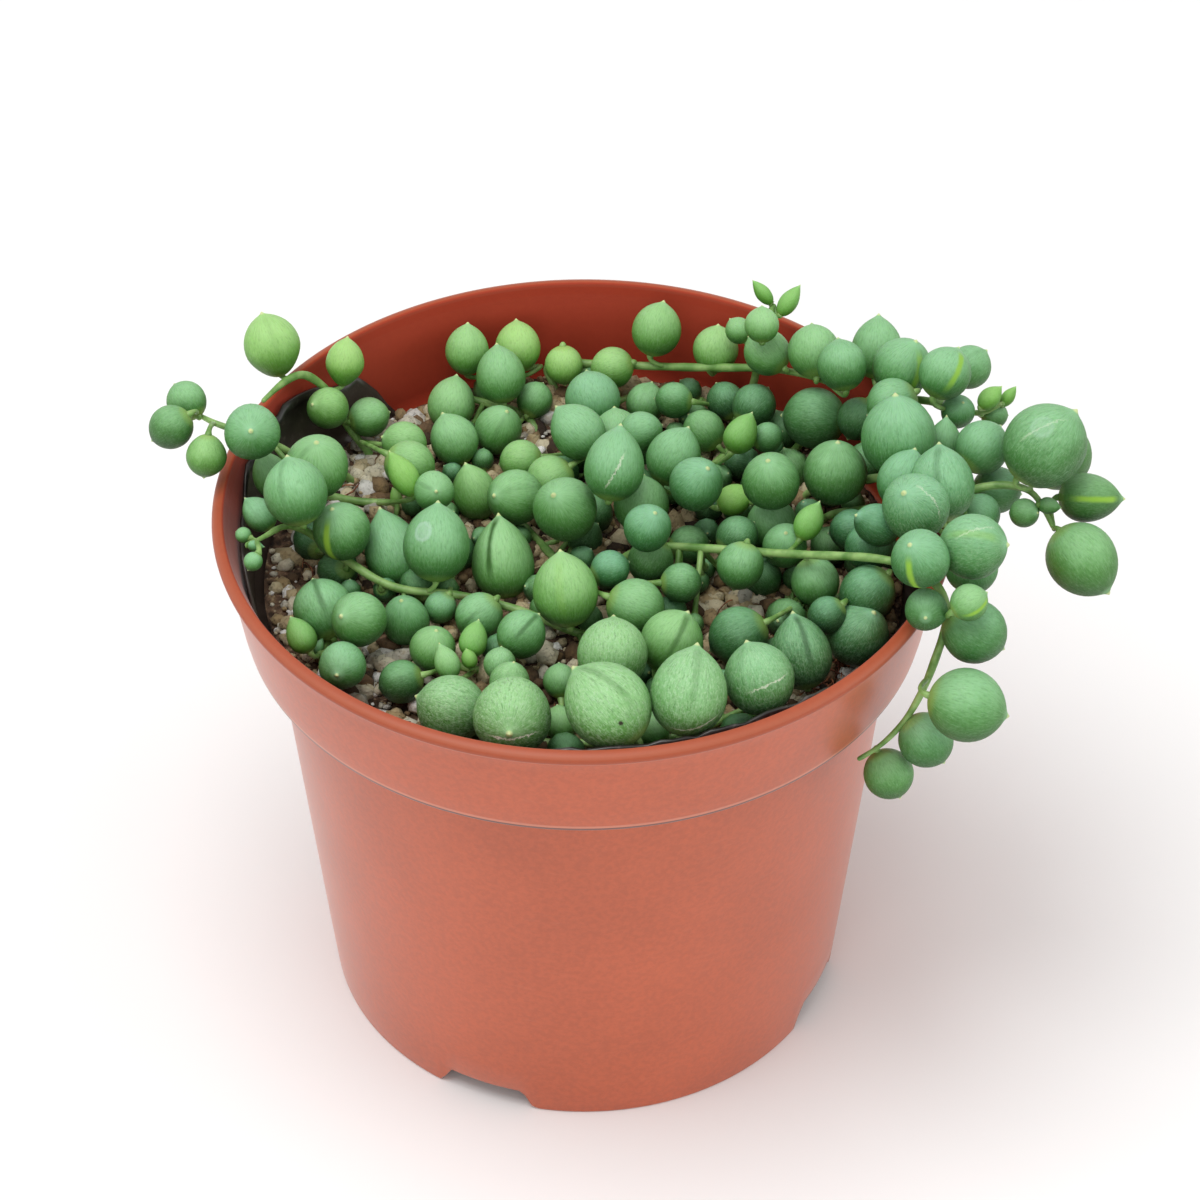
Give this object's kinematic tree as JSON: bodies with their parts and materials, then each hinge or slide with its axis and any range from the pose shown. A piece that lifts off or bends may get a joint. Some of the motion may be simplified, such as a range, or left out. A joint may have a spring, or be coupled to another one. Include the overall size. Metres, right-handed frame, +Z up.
{
  "type": "potted string of pearls plant",
  "caption": "Trailing succulent with round pea-like leaves on thin stems, rooted in gritty soil in a round tapered plastic nursery pot.",
  "frame": {"origin": "on the surface that the pot stands on, under the middle of the whole plant's bounding box", "axes": "+Z up out of the pot, -Y to the side the picture shows, +X to the side where the stems hang over the rim"},
  "size_m": [0.119, 0.09, 0.0881],
  "materials": {
    "pot_plastic": "satin terracotta-coloured plastic",
    "liner_plastic": "thin black plastic",
    "soil_mix": "dry gritty potting mix",
    "leaf_green": "waxy succulent leaf"
  },
  "bodies": {
    "root": {"pot": "pot_plastic", "liner": "liner_plastic", "soil": "soil_mix", "strand_back": "leaf_green", "strand_shoot": "leaf_green", "strand_back_left": "leaf_green", "strand_middle_back": "leaf_green", "strand_middle_right": "leaf_green", "strand_right_back": "leaf_green", "strand_right": "leaf_green", "strand_far_right": "leaf_green", "strand_hanging": "leaf_green", "strand_right_front": "leaf_green", "strand_front": "leaf_green", "strand_left": "leaf_green", "strand_left_back": "leaf_green", "strand_left_edge": "leaf_green", "strand_left_inner": "leaf_green", "strand_left_front": "leaf_green", "strand_front_left": "leaf_green", "strand_centre": "leaf_green"}
  },
  "joints": []
}
